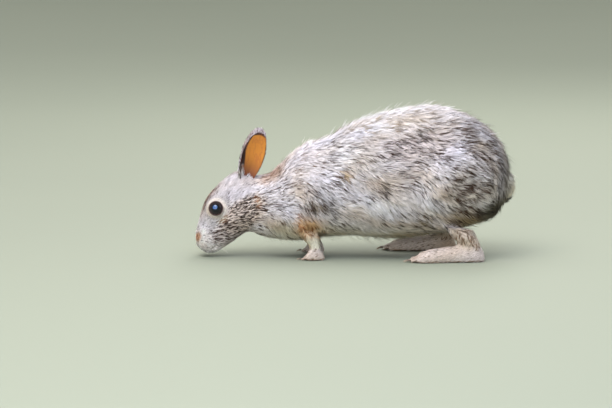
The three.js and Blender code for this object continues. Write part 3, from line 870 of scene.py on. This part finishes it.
# painted light: the orange that brightens up the inside of the ear is a painted glow of light shining through
# it, over the ear's own skin colour
ear_inside_with_glow = towards(paint(104, 54, 46), paint(218, 140, 58), fade(up_ear, 0.08, 0.62))
ear_edge = np.maximum(dark_rim, fade(np.abs(across_ear), 0.78, 0.9))
ear_inside_with_glow = towards(ear_inside_with_glow, paint(60, 42, 40), ear_edge)
ear_inside_with_glow = towards(ear_inside_with_glow, paint(178, 156, 164), fade(-across_ear, 0.9, 1.0))
hide = towards(hide, ear_inside_with_glow, in_ear * fade(up_ear, 0.04, 0.12))
hide = towards(hide, paint(206, 158, 140), nose_tip)
lid_edge = on_head * (gaze_angle > 0) * (1 - fade(away_from_eye, EYE_RADIUS + 1.2, EYE_RADIUS + 2.2))
hide = towards(hide, paint(72, 48, 43), lid_edge * fade(gaze_angle, *LID_EDGE))
hide = towards(hide, paint(186, 150, 128), foot * (1 - fade(z, 1.0, 2.5)))
print("a colour for each of", len(hide), "points of the skin")
keep(skin_mesh, "hide", "FLOAT_COLOR", hide)
keep(skin_mesh, "bare", "FLOAT", in_ear)


# %% [markdown]
# ## Tufts
# Hair hangs together in small locks, so what is repeated is a lock and not a hair: a few strands
# that start side by side and lean together to one ragged tip. Each strand is a closed spindle of
# six triangles, thin at the root, widest in the middle, where it bends over along the skin, and
# sharp at the tip. The body has three kinds, as a real coat has: broad soft under locks, long
# thin guard locks that stand a little above them and carry the crisp dark and white strokes, and
# a few strays that break the outline. Short locks clothe the head, the legs and the ears.

# %% One lock as a mesh
BEND = 0.42  # how far along a strand its widest place and its bend are


def lock(name, strands, spread, width, rise, dice):
    """A lock of unit length that lies along +X, as an object outside the scene."""
    vertices, faces, blades = [], [], []
    for number in range(strands):
        across = spread * (2 * number / max(strands - 1, 1) - 1) + dice.normal() * spread * 0.2
        root = np.array((dice.uniform(-0.2, 0.12), across, -0.04))
        tip = np.array((dice.uniform(0.7, 1.0), across * dice.uniform(0.15, 0.6) + dice.normal() * 0.03, 0))
        tip[2] = rise * dice.uniform(0.75, 1.2)
        middle = root + (tip - root) * BEND
        middle[2] = tip[2] * 0.72
        half = width * dice.uniform(0.38, 0.6)
        first = len(vertices)
        vertices += [root, middle + (0, -half, 0), middle + (0, half, 0), middle + (0, 0, 0.7 * half), tip]
        own = number / strands
        blades += [(0.5, 0, own), (0, BEND, own), (1, BEND, own), (0.5, BEND, own), (0.5, 1, own)]
        for here, after in ((1, 2), (2, 3), (3, 1)):
            faces.append((first, first + after, first + here))
            faces.append((first + here, first + after, first + 4))
    mesh = bpy.data.meshes.new(name)
    mesh.from_pydata([tuple(v) for v in vertices], [], faces)
    mesh.shade_smooth()
    keep(mesh, "blade", "FLOAT_VECTOR", np.array(blades))
    return bpy.data.objects.new(name, mesh)


def lock_set(name, count, strands, spread, width, rise):
    """A collection of differing locks, for Geometry Nodes to pick from."""
    dice = np.random.default_rng(SEED + strands)
    collection = bpy.data.collections.new(name)
    for number in range(count):
        collection.objects.link(lock(f"{name} {number}", strands, spread, width, rise, dice))
    return collection


UNDER_LOCKS = lock_set("under locks", 7, 6, 0.15, 0.10, 0.19)
GUARD_LOCKS = lock_set("guard locks", 8, 3, 0.026, 0.036, 0.26)
FACE_LOCKS = lock_set("face locks", 8, 3, 0.06, 0.085, 0.22)
STRAY_LOCKS = lock_set("stray locks", 5, 2, 0.03, 0.034, 0.55)
LOCK_SETS = (UNDER_LOCKS, GUARD_LOCKS, FACE_LOCKS, STRAY_LOCKS)


# %% [markdown]
# ## Growing the coat
# Geometry Nodes scatter points evenly over a stretch of skin, stand a lock on each, turned so
# that it lies along the stored direction, and scale it by the stored length. Every lock carries
# its own random tone and the skin's colours and shares at its root, and each gets a small patch
# of the OFBake map at its root's place on an unwrap of the skin. Arrays in code could do this as
# well, but the tree shows each choice as a node that can be changed by hand.

# %% The tree
PATCH = 0.003  # the side of a lock's patch on the map
PACKING = 1.6  # locks wanted for each square of the spacing, before those too close go
LOWEST = 0.0002  # where locks that would reach through the floor are laid, in metres
TREE_INPUTS = (("Skin", "Geometry"), ("Locks", "Collection"), ("Spacing", "Float"), ("Width", "Float"),
               ("Turn", "Float"), ("Raise", "Float"), ("Softness", "Float"), ("Seed", "Int"),
               ("Hair", "Material"))


def coat_tree():
    """The node tree that grows a coat from a stretch of skin."""
    tree = bpy.data.node_groups.new("coat of locks", "GeometryNodeTree")
    for name, kind in TREE_INPUTS:
        tree.interface.new_socket(name, in_out="INPUT", socket_type="NodeSocket" + kind)
    tree.interface.new_socket("Coat", in_out="OUTPUT", socket_type="NodeSocketGeometry")
    given = add_node(tree, "NodeGroupInput").outputs

    def geometry(kind, inputs=None, **settings):
        return add_node(tree, "GeometryNode" + kind, inputs, **settings).outputs

    def stored(name, kind="FLOAT_VECTOR"):
        return geometry("InputNamedAttribute", {"Name": name}, data_type=kind)["Attribute"]

    def storing(shape, name, value, kind, domain="POINT"):
        inputs = {"Geometry": shape, "Name": name, "Value": value}
        return geometry("StoreNamedAttribute", inputs, data_type=kind, domain=domain)["Geometry"]

    def function(kind, inputs, **settings):
        return add_node(tree, "FunctionNode" + kind, inputs, **settings).outputs

    def dice(low, high, offset):
        inputs = {"Min": low, "Max": high, "Seed": maths(tree, "ADD", given["Seed"], offset)}
        return function("RandomValue", inputs, data_type="FLOAT")["Value"]

    def vector(*parts):
        return add_node(tree, "ShaderNodeCombineXYZ", dict(enumerate(parts))).outputs["Vector"]

    def vector_maths(operation, *values):
        inputs = dict(enumerate(values))
        return add_node(tree, "ShaderNodeVectorMath", inputs, operation=operation).outputs["Vector"]

    def times(*values):
        return maths(tree, "MULTIPLY", *values)

    # Points all over the skin, each with its own tone and the skin's normal.
    scatter = geometry("DistributePointsOnFaces", {
        "Mesh": given["Skin"], "Distance Min": given["Spacing"], "Seed": given["Seed"],
        "Density Max": maths(tree, "DIVIDE", PACKING, times(given["Spacing"], given["Spacing"])),
        "Density Factor": stored("density", "FLOAT")}, distribute_method="POISSON")
    roots = storing(scatter["Points"], "tone", dice(0, 1, 11), "FLOAT")
    roots = storing(roots, "upright", scatter["Normal"], "FLOAT_VECTOR")

    # A lock on each, laid along the hair with a little turn, and as long as the hair is.
    lying = function("AxesToRotation", {"Primary Axis": scatter["Normal"], "Secondary Axis": stored("lie")},
                     primary_axis="Z", secondary_axis="X")["Rotation"]
    turn = vector(times(dice(-1, 1, 23), 0.5), times(dice(-1, 0.6, 29), given["Raise"]),
                  times(dice(-1, 1, 31), given["Turn"]))
    turn = function("EulerToRotation", {"Euler": turn})["Rotation"]
    turned = function("RotateRotation", {"Rotation": lying, "Rotate By": turn}, rotation_space="LOCAL")
    length = times(stored("hair", "FLOAT"), dice(0.75, 1.2, 37))
    locks = geometry("CollectionInfo", {"Separate Children": True, "Reset Children": True,
                                        "Collection": given["Locks"]}, transform_space="ORIGINAL")
    grown_locks = geometry("InstanceOnPoints", {
        "Pick Instance": True, "Points": roots, "Instance": locks["Instances"],
        "Rotation": turned["Rotation"],
        "Scale": vector(length, times(length, given["Width"]), length)})["Instances"]
    coat = geometry("RealizeInstances", {"Geometry": grown_locks})["Geometry"]

    # Shaded partly as the skin under them, and kept above the floor.
    soft = add_node(tree, "ShaderNodeMix", {
        "Factor": given["Softness"], "A": geometry("InputNormal")["Normal"], "B": stored("upright")},
        data_type="VECTOR").outputs["Result"]
    coat = geometry("SetMeshNormal", {"Mesh": coat, "Custom Normal": soft}, mode="FREE",
                    domain="POINT")["Mesh"]
    place = add_node(tree, "ShaderNodeSeparateXYZ", {"Vector": geometry("InputPosition")["Position"]}).outputs
    lifted = vector(place["X"], place["Y"], maths(tree, "MAXIMUM", place["Z"], LOWEST))
    coat = geometry("SetPosition", {"Geometry": coat, "Position": lifted})["Geometry"]

    # Each lock's patch of the map, round the place of its root on the skin's unwrap.
    patch = vector_maths("SUBTRACT", stored("blade"), (0.5, 0.5, 0))
    patch = vector_maths("MULTIPLY", patch, (PATCH, PATCH, 0))
    coat = storing(coat, "OFBake", vector_maths("ADD", stored("unwrap"), patch), "FLOAT2", "CORNER")
    coat = geometry("SetMaterial", {"Geometry": coat, "Material": given["Hair"]})["Geometry"]
    add_node(tree, "NodeGroupOutput", {"Coat": coat})
    return tree


COAT_TREE = coat_tree()
print("coat tree with", len(COAT_TREE.nodes), "nodes")


# %% The hair's material
DARK_TIP, ROOT_SHADE = (0.025, 0.02, 0.018), (0.68, 0.65, 0.65)


def hair_material(name, crisp, most):
    """Locks that are pale or ticked by their tone. Crisp is how sudden the change from one to the
    other is, and most is how ticked a ticked lock gets."""
    hair, tree, shader = material(name)
    tone = attribute(tree, "tone", "Fac")
    blade = add_node(tree, "ShaderNodeSeparateXYZ", {"Vector": attribute(tree, "blade", "Vector")})
    along = blade.outputs["Y"]
    over = maths(tree, "SUBTRACT", attribute(tree, "share", "Fac"), tone)
    is_ticked = ramp(tree, over, -crisp, crisp, 0.0, most)
    pale = attribute(tree, "pale")
    ticked = attribute(tree, "ticked")
    dark_tip = blended(tree, ramp(tree, along, 0.3, 0.9, 0.0, 0.7), ticked, DARK_TIP)
    banded = blended(tree, ramp(tree, along, 0.0, 0.4, 0.6, 0.0), dark_tip, pale)
    root = blended(tree, 1.0, pale, ROOT_SHADE, "MULTIPLY")
    light = blended(tree, ramp(tree, along, 0.0, 0.6), root, pale)
    colour = blended(tree, is_ticked, light, banded)
    own = maths(tree, "FRACT", maths(tree, "MULTIPLY", tone, 7.31))  # a second random value
    jitter = {channel: ramp(tree, own, 0, 1, low, 1.08)
              for channel, low in (("Red", 0.86), ("Green", 0.84), ("Blue", 0.83))}
    jitter = add_node(tree, "ShaderNodeCombineColor", jitter).outputs["Color"]
    fill(tree, shader, {"Base Color": blended(tree, 1.0, colour, jitter, "MULTIPLY"),
                        "Roughness": 0.7, "Specular IOR Level": 0.2})
    return hair


UNDER_HAIR = hair_material("under hair", 0.5, 0.6)
GUARD_HAIR = hair_material("guard hair", 0.06, 1.0)
print("two hair materials")


# %% Cut the skin into stretches
SHARPEST_FOLD, ISLAND_MARGIN = math.radians(66), 0.004  # of the unwrap


def stretch(name, chosen):
    """A copy of the skin's faces whose first corner is chosen, unwrapped by its own shape."""
    mesh = skin_mesh.copy()
    mesh.name = name
    with edited(mesh) as work:
        spare = [f for f in work.faces if not chosen[f.verts[0].index]]
        bmesh.ops.delete(work, geom=spare, context="FACES")
    holder = placed(name, mesh)
    mesh.uv_layers.new(name="unwrap")
    bpy.context.view_layer.objects.active = holder
    holder.select_set(True)
    bpy.ops.object.mode_set(mode="EDIT")
    bpy.ops.mesh.select_all(action="SELECT")
    bpy.ops.uv.smart_project(angle_limit=SHARPEST_FOLD, island_margin=ISLAND_MARGIN)
    bpy.ops.object.mode_set(mode="OBJECT")
    holder.select_set(False)
    return holder


def grown(name, holder, locks, hair, spacing, width=1.0, turn=0.25, lift=0.12, soft=0.65, seed=0):
    """A piece of coat that grows from a stretch of skin, with its locks spacing mm apart."""
    modifier = holder.modifiers.new("grow", "NODES")
    modifier.node_group = COAT_TREE
    values = {"Locks": locks, "Spacing": spacing * MM, "Width": width, "Turn": turn, "Raise": lift,
              "Softness": soft, "Seed": SEED + seed, "Hair": hair}
    for item in COAT_TREE.interface.items_tree:
        if item.name in values:
            modifier[item.identifier] = values[item.name]
    mesh = evaluated(holder, name)
    holder.modifiers.clear()
    for spare in ("unwrap", "lie", "hair", "density", "upright", "thin", "hide", "bare"):
        if spare in mesh.attributes:
            mesh.attributes.remove(mesh.attributes[spare])
    piece = placed(name, mesh)
    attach(piece, "root")
    print(name, len(mesh.polygons), "triangles")


# %% [markdown]
# ## The coat, layer by layer
# The coat is grown in layers over whole stretches of skin, as it is combed on a mounted animal:
# on each side of the body two layers of under locks, two of guard locks and a few strays, then
# the short locks of the head, the legs and the ears. Layers overlap like tiles, so a gap in one
# shows the next.

# %% The body
SPACING = {"under": 2.4, "guard": 1.6, "strays": 5.5, "head": 0.72, "legs": 1.0, "ears": 0.75}  # mm
points = coordinates(skin_mesh)
x, y, z = (points / MM).T
halves = (("left", y < 0), ("right", y >= 0))
head_zone = (x < HEAD_HIGH[0] - 10) & ~is_ear
leg_zone = (limb + foot > 0.5) & ~is_ear
trunk_zone = ~head_zone & ~leg_zone & ~is_ear
for word, half in halves:
    holder = stretch("body " + word, trunk_zone & half)
    for layer in (1, 2):
        grown(f"coat_under_{layer}_{word}", holder, UNDER_LOCKS, UNDER_HAIR, SPACING["under"], seed=layer)
        grown(f"coat_guard_{layer}_{word}", holder, GUARD_LOCKS, GUARD_HAIR, SPACING["guard"],
              turn=0.17, lift=0.2, seed=layer + 2)
    grown("coat_strays_" + word, holder, STRAY_LOCKS, GUARD_HAIR, SPACING["strays"],
          turn=0.6, lift=0.3, seed=5)
    dropped(holder)

# %% The head, legs and ears
for word, half in halves:
    for part, zone in (("head", head_zone), ("legs", leg_zone)):
        holder = stretch(part + " " + word, zone & half)
        grown(f"coat_{part}_{word}", holder, FACE_LOCKS, GUARD_HAIR, SPACING[part], turn=0.2, seed=11)
        dropped(holder)
holder = stretch("ears", is_ear)
grown("coat_ears", holder, FACE_LOCKS, GUARD_HAIR, SPACING["ears"], turn=0.15, lift=0.05, seed=13)
dropped(holder)
for lock_kind in LOCK_SETS:
    for spare in list(lock_kind.objects):
        bpy.data.objects.remove(spare)


# %% [markdown]
# ## Eyes, claws and whiskers
# A rabbit's eye is nearly a ball, set so far to the side that it sees behind itself. It is turned
# like glass on a lathe: rings round the line of sight, with the clear front standing a little
# proud, and its dark brown iris is painted by the angle from that line. One blue light for each
# eye, which falls on nothing else, puts a piece of the sky in it. Claws are curved cones of horn
# that stick out of the toes, and whiskers are stiff bowed hairs, and each kind is one joined mesh.

# %% Rings, tubes and pieces
def rings_mesh(name, rings):
    """A mesh that joins rings of equal length in millimetres, with its two ends filled."""
    count = len(rings[0])
    vertices = [tuple(point * MM) for ring in rings for point in ring]
    faces = []
    for i in range(len(rings) - 1):
        for k in range(count):
            after = (k + 1) % count
            faces.append((i * count + k, i * count + after, (i + 1) * count + after, (i + 1) * count + k))
    faces.append(tuple(reversed(range(count))))
    faces.append(tuple(range((len(rings) - 1) * count, len(rings) * count)))
    mesh = bpy.data.meshes.new(name)
    mesh.from_pydata(vertices, [], faces)
    mesh.shade_smooth()
    return mesh


def spokes(way, across, count):
    """Unit spokes round a way, the first of them level, across a second direction."""
    level = np.cross(way, across)
    level /= np.linalg.norm(level)
    upright = np.cross(level, way)
    turns = np.linspace(0, 2 * math.pi, count, endpoint=False)
    return np.outer(np.cos(turns), level) + np.outer(np.sin(turns), upright)


def faced_outwards(mesh):
    """Turns the faces of closed shells so that they point out."""
    with edited(mesh) as work:
        bmesh.ops.recalc_face_normals(work, faces=work.faces)
    return mesh


def swept(path, radii, corners):
    """Rings of corners points round a path, in millimetres."""
    path = np.array(path, float)
    rings = []
    for spot, way, radius in zip(path, np.gradient(path, axis=0), radii):
        rings.append(spot + radius * spokes(way / np.linalg.norm(way), (0.3, 0.2, 1.0), corners))
    return rings


def joined_tubes(name, tubes):
    """Many swept tubes as one mesh, with how far along each tube a point is kept on it."""
    mesh = bpy.data.meshes.new(name)
    shares = []
    with edited(mesh) as together:
        for rings in tubes:
            together.from_mesh(rings_mesh(name, rings))
            shares += [i / (len(rings) - 1) for i, ring in enumerate(rings) for _ in ring]
    mesh.shade_smooth()
    keep(mesh, "along", "FLOAT", np.array(shares))
    return faced_outwards(mesh)


def piece_of(name, mesh, finish, slot, *replaced):
    """A finished mesh as a piece of the rabbit."""
    made = placed(name, mesh)
    mesh.materials.append(finish)
    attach(made, "root")
    if replaced:
        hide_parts(*replaced)
    return made


def horny(name, start, end, low, high, roughness):
    """A material whose colour changes along each tube from low at start to high at end."""
    finish, tree, shader = material(name)
    along = ramp(tree, attribute(tree, "along", "Fac"), start, end)
    fill(tree, shader, {"Base Color": blended(tree, along, low, high), "Roughness": roughness})
    return finish


# %% Eyes
EYE_RINGS, EYE_SPOKES = 44, 56
PUPIL, IRIS = (30, 36), (46, 58)  # degrees from the gaze over which each ends
CORNEA, SLACK = 0.5, 0.05  # mm that the clear front stands out, and that the ball is smaller


def eye_material():
    """A black pupil in a dark brown iris with fine radial fibres, under a wet gloss."""
    finish, tree, shader = material("eye")
    turn = attribute(tree, "turn", "Fac")
    where = add_node(tree, "ShaderNodeTexCoord").outputs["Object"]
    iris = blended(tree, noise(tree, where, 900, 3), paint(36, 20, 14), paint(16, 10, 8))
    rimmed = blended(tree, ramp(tree, turn, *IRIS), iris, paint(10, 7, 7))
    colour = blended(tree, ramp(tree, turn, *PUPIL, 1.0, 0.0), rimmed, paint(4, 4, 5))
    fill(tree, shader, {"Base Color": colour, "Roughness": 0.03, "IOR": 1.45})
    return finish


def eyeball(side):
    """An eyeball whose clear front stands out by half a millimetre."""
    centre, gaze = EYE * (1, side, 1), GAZE * (1, side, 1)
    around = spokes(gaze, (0, 0, 1), EYE_SPOKES)
    rings, turns = [], []
    for i in range(EYE_RINGS + 1):
        angle = math.pi * (0.004 + 0.992 * i / EYE_RINGS)
        radius = EYE_RADIUS - SLACK + CORNEA * (1 - fade(math.degrees(angle), 8, 52))
        rings.append(centre + radius * (math.cos(angle) * gaze + math.sin(angle) * around))
        turns += [math.degrees(angle)] * EYE_SPOKES
    mesh = rings_mesh("eye", rings)
    keep(mesh, "turn", "FLOAT", np.array(turns))
    return faced_outwards(mesh)


EYE_FINISH = eye_material()
eyeballs = [piece_of("eyeball_" + word, eyeball(side_of), EYE_FINISH, "eye", "eye_" + word)
            for word, side_of in SIDES]
print("two eyeballs")

# %% A piece of blue sky in each eye
CATCH_SIZE, CATCH_WATTS, SKY_BLUE = 2.8, 240, (0.18, 0.40, 1.0)
for (word, side_of), eye in zip(SIDES, eyeballs):
    place, target = (-0.72, side_of * 1.25, 0.90), EYE * (1, side_of, 1) * MM
    light_only(area_light("catch_" + word, place, target, CATCH_SIZE, CATCH_WATTS, SKY_BLUE), eye)
print("a light for each eye")

# %% Claws
CLAW_LENGTH = {"hind_foot": 7.5, "forepaw": 5.0}
CLAWS_PER_FOOT = 4
TOE_TOP = 5  # claws start below this height in mm
CLAW_STEPS, CLAW_CORNERS = 8, 8


def claw_points(node):
    """The foremost points of a CAD foot, one for each toe."""
    corners = coordinates(frame["nodes"][node].data) / MM
    corners = corners[corners[:, 2] < TOE_TOP]
    gap = (corners[:, 1].max() - corners[:, 1].min()) / 7
    found = []
    for corner in corners[np.argsort(corners[:, 0])]:
        if len(found) < CLAWS_PER_FOOT and all(abs(corner[1] - other[1]) > gap for other in found):
            found.append(corner)
    return found


def claws():
    """A bowed cone on each toe, which ends just above the floor."""
    tubes = []
    steps = np.linspace(0, 1, CLAW_STEPS)
    for node in FEET:
        size = CLAW_LENGTH[node.rsplit("_", 1)[0]]
        for point in claw_points(node):
            bow = [0.30 * size * math.sin(math.pi * (0.55 - 0.5 * s)) - 0.1 for s in steps]
            path = np.array([point + (size * (1 - s), 0, up) for s, up in zip(steps, bow)])
            path[:, 2] = np.maximum(path[:, 2] - path[-1, 2] + 0.7, 0.5)
            tubes.append(swept(path, 0.11 * size * np.sqrt(1.02 - steps), CLAW_CORNERS))
    return joined_tubes("claws", tubes)


HORN = horny("horn", 0.2, 1.0, paint(96, 78, 66), paint(168, 150, 132), 0.38)
piece_of("claws", claws(), HORN, "foot_coat")
print("claws on", len(FEET), "feet")

# %% Whiskers
WHISKERS_PER_SIDE, WHISKERS_PER_ROW = 14, 5
WHISKER_STEPS, WHISKER_CORNERS = 9, 4


def whiskers():
    """Thin hairs in rows on the upper lip, that bend back and down."""
    dice = np.random.default_rng(SEED + 50)
    tubes = []
    steps = np.linspace(0, 1, WHISKER_STEPS)
    for _, side_of in SIDES:
        for number in range(WHISKERS_PER_SIDE):
            row, place = divmod(number, WHISKERS_PER_ROW)
            root = np.array((HEAD_LOW[0] + 7 + 2.6 * place, side_of * (9.2 + 0.7 * place),
                             17.5 + 3.6 * row - 0.4 * place))
            reach = dice.uniform(20, 36)
            way = np.array((dice.uniform(-0.15, 0.45), side_of, dice.uniform(-0.35, 0.25)))
            way /= np.linalg.norm(way)
            sag = np.array((0.16, 0, -0.14)) * reach
            path = np.array([root + way * reach * s + sag * s * s for s in steps])
            path[:, 2] = np.maximum(path[:, 2], 1.2)
            tubes.append(swept(path, 0.16 * (1.05 - steps) + 0.02, WHISKER_CORNERS))
    return joined_tubes("whiskers", tubes)


BRISTLE = horny("whisker", 0.0, 0.35, paint(150, 142, 138), paint(232, 228, 224), 0.45)
piece_of("whiskers", whiskers(), BRISTLE, "coat")
print("whiskers:", 2 * WHISKERS_PER_SIDE)


# %% [markdown]
# ## The skin's finish
# The skin shows only between the locks, inside the ears, and at the nose, lids and soles. Its
# colour is stored on its points, fine noise breaks it up, darker veins run up the ears, and small
# bump stands for underfur.

# %% The skin's material
def skin_material():
    """The stored colour with grain all over it and veins where the ear is bare."""
    finish, tree, shader = material("skin")
    where = add_node(tree, "ShaderNodeTexCoord").outputs["Object"]
    drawn = add_node(tree, "ShaderNodeMapping", {"Vector": where, "Scale": (1.0, 1.0, 0.10)})
    is_bare = attribute(tree, "bare", "Fac")
    vein = maths(tree, "SUBTRACT", noise(tree, drawn.outputs["Vector"], 170, 2), 0.5)
    vein = ramp(tree, maths(tree, "ABSOLUTE", vein), 0.0, 0.05, 0.3, 0.0)
    vein = maths(tree, "MULTIPLY", vein, is_bare)
    grain = maths(tree, "SUBTRACT", noise(tree, where, 700, 4), 0.5)
    grain = maths(tree, "MULTIPLY", grain, maths(tree, "MULTIPLY_ADD", is_bare, -0.6, 1.0))
    speckle = blended(tree, maths(tree, "ADD", grain, 0.5), (0.72, 0.70, 0.68), (1.15, 1.15, 1.15))
    mottled = blended(tree, 1.0, attribute(tree, "hide"), speckle, "MULTIPLY")
    bump = {"Strength": 0.35, "Distance": 0.0005, "Height": noise(tree, where, 1500, 3)}
    bump = add_node(tree, "ShaderNodeBump", bump).outputs["Normal"]
    fill(tree, shader, {"Base Color": blended(tree, vein, mottled, paint(168, 84, 56)),
                        "Normal": bump, "Roughness": 0.62, "Specular IOR Level": 0.35})
    return finish


for spare in ("lie", "hair", "density"):
    skin_mesh.attributes.remove(skin_mesh.attributes[spare])
piece_of("skin", skin_mesh, skin_material(), "coat", *FLESH, "ear_left", "ear_right")
print("skin:", len(skin_mesh.polygons), "triangles")
